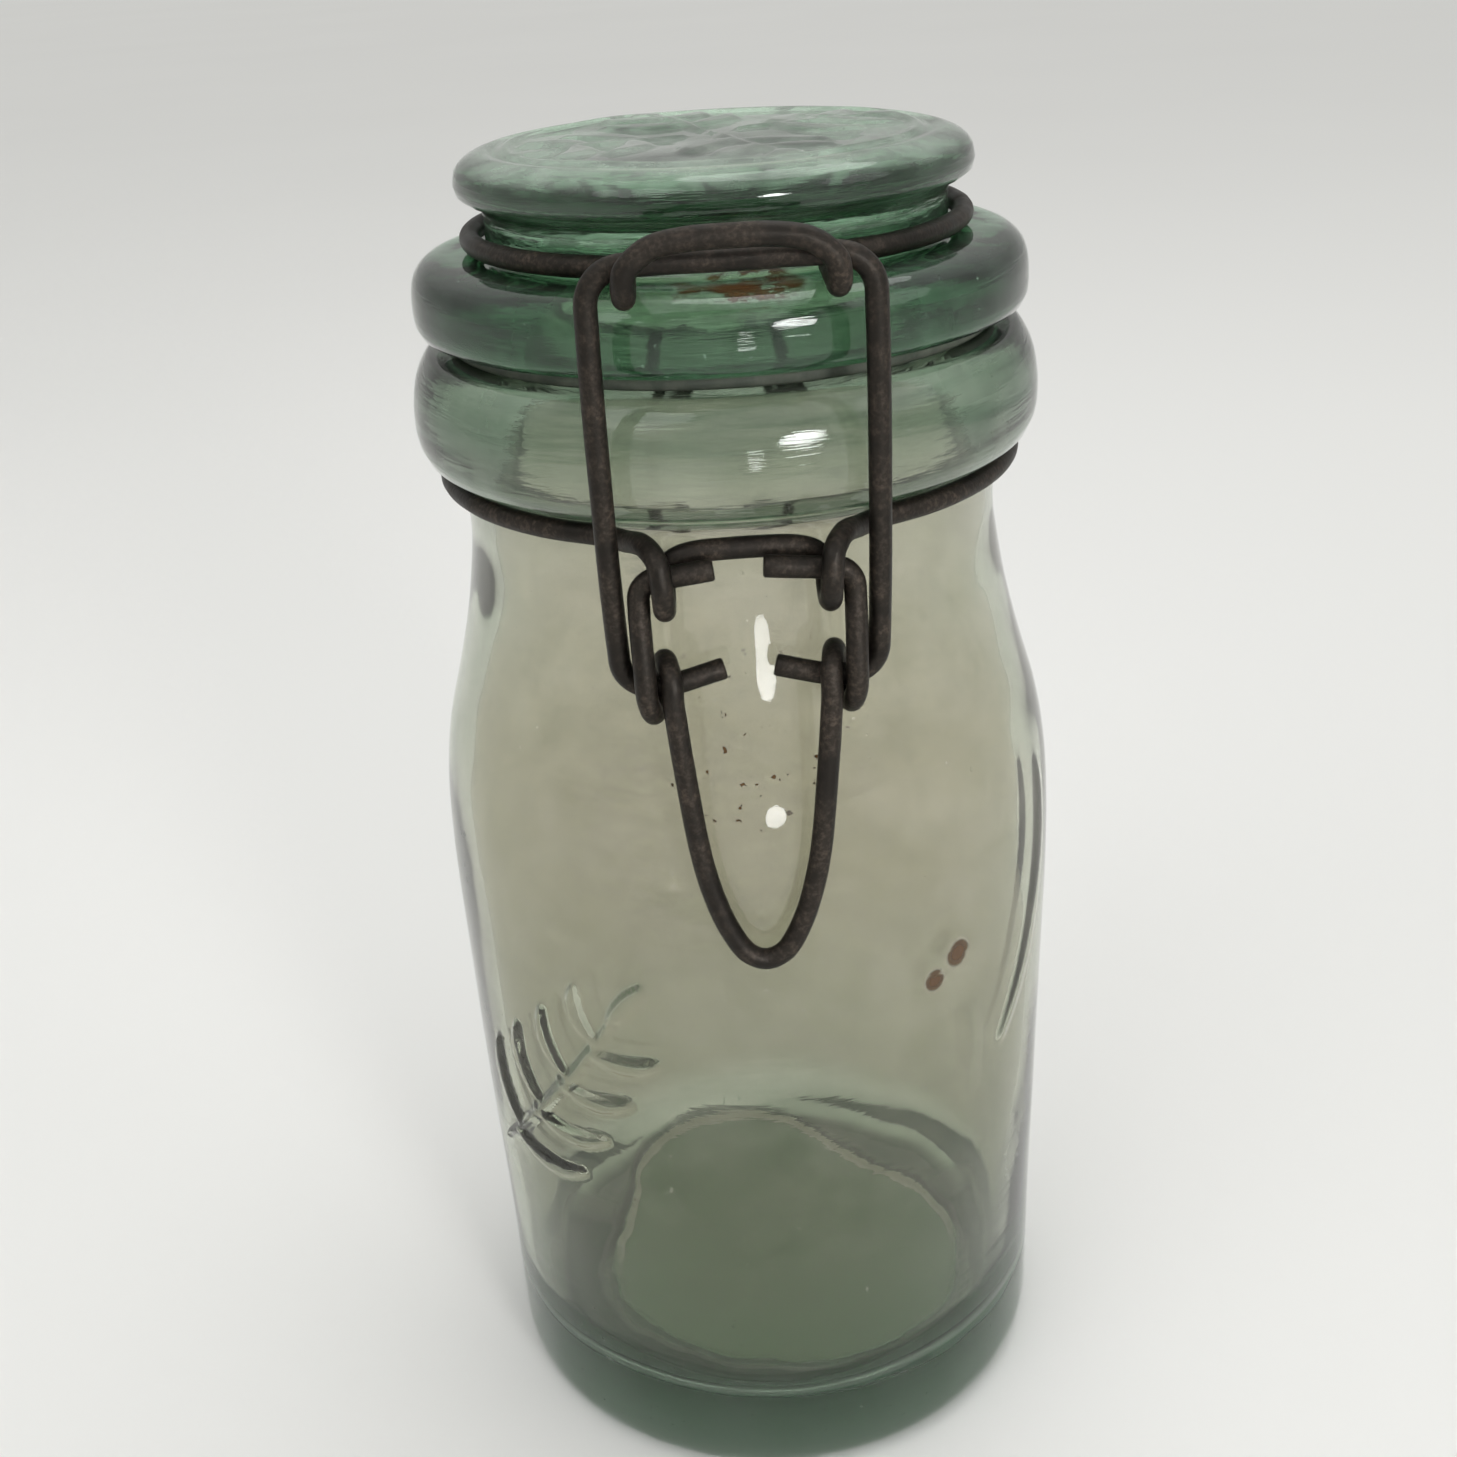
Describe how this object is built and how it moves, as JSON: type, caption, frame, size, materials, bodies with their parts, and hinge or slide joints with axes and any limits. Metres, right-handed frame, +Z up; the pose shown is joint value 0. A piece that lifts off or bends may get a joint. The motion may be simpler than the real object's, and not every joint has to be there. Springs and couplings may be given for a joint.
{
  "type": "wire-bail canning jar",
  "caption": "Wide-mouth pressed glass canning jar with a flanged glass lid, rubber ring and a sprung wire bail clamp with lever and link.",
  "frame": {"origin": "centre of the jar's flat underside", "axes": "+Z up the jar's axis, -Y towards the latch, +Y towards the lid's hinge, +X to the right of someone facing the latch"},
  "size_m": [0.1016, 0.1094, 0.2177],
  "materials": {
    "body_glass": "pale green pressed glass, glossy and slightly wavy",
    "lid_glass": "thicker, deeper green pressed glass, glossy",
    "rubber": "aged matt rubber",
    "wire": "dark oxidised steel wire with rust-brown tints"
  },
  "bodies": {
    "jar": {"jar_body": "body_glass", "neck_wire": "wire"},
    "lid_bail": {"lid_wire": "wire"},
    "lid": {"glass_lid": "lid_glass", "gasket": "rubber"},
    "clamp_lever": {"lever": "wire"},
    "clamp_link": {"link": "wire"}
  },
  "joints": [
    {"name": "lid_hinge", "type": "hinge", "parent": "jar", "child": "lid_bail", "pos_m": [0, 0.0494, 0.1685], "axis": [-1, 0, 0], "range_deg": [0, 115]},
    {"name": "lid_turn", "type": "hinge", "parent": "lid_bail", "child": "lid", "pos_m": [0, 0, 0.2051], "axis": [0, 0, 1], "continuous": true},
    {"name": "lever_pivot", "type": "hinge", "parent": "jar", "child": "clamp_lever", "pos_m": [0, -0.0488, 0.167], "axis": [-1, 0, 0], "range_deg": [0, 105]},
    {"name": "link_swing", "type": "hinge", "parent": "clamp_lever", "child": "clamp_link", "pos_m": [0, -0.0471, 0.1505], "axis": [-1, 0, 0], "range_deg": [-77, 0]}
  ],
  "couplings": [
    {"joint": "link_swing", "follows": "lever_pivot", "ratio": -0.73}
  ]
}
